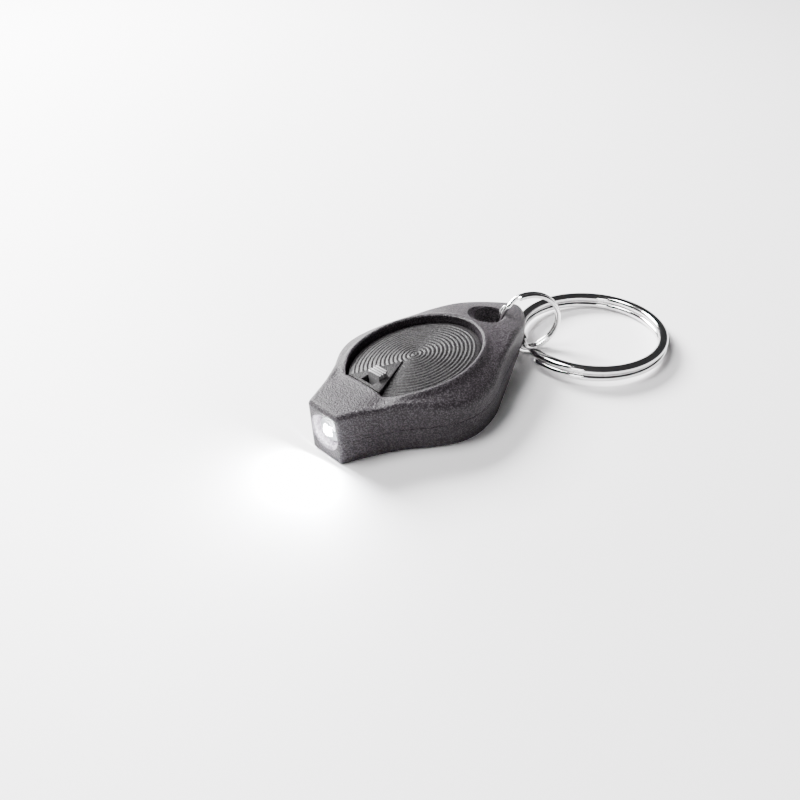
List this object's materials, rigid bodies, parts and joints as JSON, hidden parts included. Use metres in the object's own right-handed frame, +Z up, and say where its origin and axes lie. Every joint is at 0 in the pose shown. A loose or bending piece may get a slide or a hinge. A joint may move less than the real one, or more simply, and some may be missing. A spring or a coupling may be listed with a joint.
{
  "type": "keychain flashlight",
  "caption": "Flat squeeze flashlight in a diamond-shaped moulded body: sprung oval press button with a lock slide, LED in the nose, coin cells inside, split rings through the tail.",
  "frame": {"origin": "on the flat underside, below the middle of the press button and the coin cells", "axes": "+X towards the tail and the rings, +Z up out of the button"},
  "size_m": [0.0635, 0.0369, 0.0112],
  "materials": {
    "shell_plastic": "fine spark-eroded texture",
    "button_plastic": "fine texture with concentric grooves",
    "slide_plastic": "smooth moulded",
    "pad_rubber": "moulded",
    "spring_steel": "rolled strip",
    "screw_steel": "zinc plated",
    "sleeve_plastic": "thin film",
    "ring_chrome": "bright nickel plate",
    "led_epoxy": "clear epoxy",
    "lead_tin": "tinned",
    "led_die": "phosphor, lit white",
    "bond_gold": "drawn wire",
    "cell_steel": "nickel plated",
    "gasket_plastic": "moulded",
    "lithium_metal": "soft foil",
    "separator_film": "thin non-woven",
    "cathode_mix": "pressed powder"
  },
  "bodies": {
    "casing": {"upper_shell": "shell_plastic", "lower_shell": "shell_plastic", "case_screws": "screw_steel", "cell_sleeve": "sleeve_plastic", "led_lens": "led_epoxy", "led_cathode_lead": "lead_tin", "led_anode_lead": "lead_tin", "led_chip": "led_die", "led_bond_wire": "bond_gold", "cell_1_can": "cell_steel", "cell_1_gasket": "gasket_plastic", "cell_1_cap": "cell_steel", "cell_1_lithium": "lithium_metal", "cell_1_separator": "separator_film", "cell_1_cathode": "cathode_mix", "cell_2_can": "cell_steel", "cell_2_gasket": "gasket_plastic", "cell_2_cap": "cell_steel", "cell_2_lithium": "lithium_metal", "cell_2_separator": "separator_film", "cell_2_cathode": "cathode_mix"},
    "button": {"press_button": "button_plastic", "button_pad": "pad_rubber", "slide_keeper": "spring_steel"},
    "slide": {"lock_slide": "slide_plastic"},
    "small_ring": {"small_ring": "ring_chrome"},
    "key_ring": {"key_ring": "ring_chrome"}
  },
  "joints": [
    {"name": "button_press", "type": "slide", "parent": "casing", "child": "button", "axis": [0, 0, -1], "range_m": [0, 0.00045], "stiffness_N_per_m": 3000, "springref_m": -0.0003, "deforming": ["led_anode_lead"]},
    {"name": "lock_slide_travel", "type": "slide", "parent": "button", "child": "slide", "axis": [-1, 0, 0], "range_m": [0, 0.0013]},
    {"name": "small_ring_turn", "type": "hinge", "parent": "casing", "child": "small_ring", "pos_m": [0.02283, -0.00377, 0.00561], "axis": [-0.5476, -0.8368, -0.0017], "range_deg": [0, 70]},
    {"name": "key_ring_flap", "type": "hinge", "parent": "small_ring", "child": "key_ring", "pos_m": [0.02186, -0.00313, 0.00234], "axis": [-0.615, -0.788, 0.0288], "range_deg": [0, 12]}
  ]
}
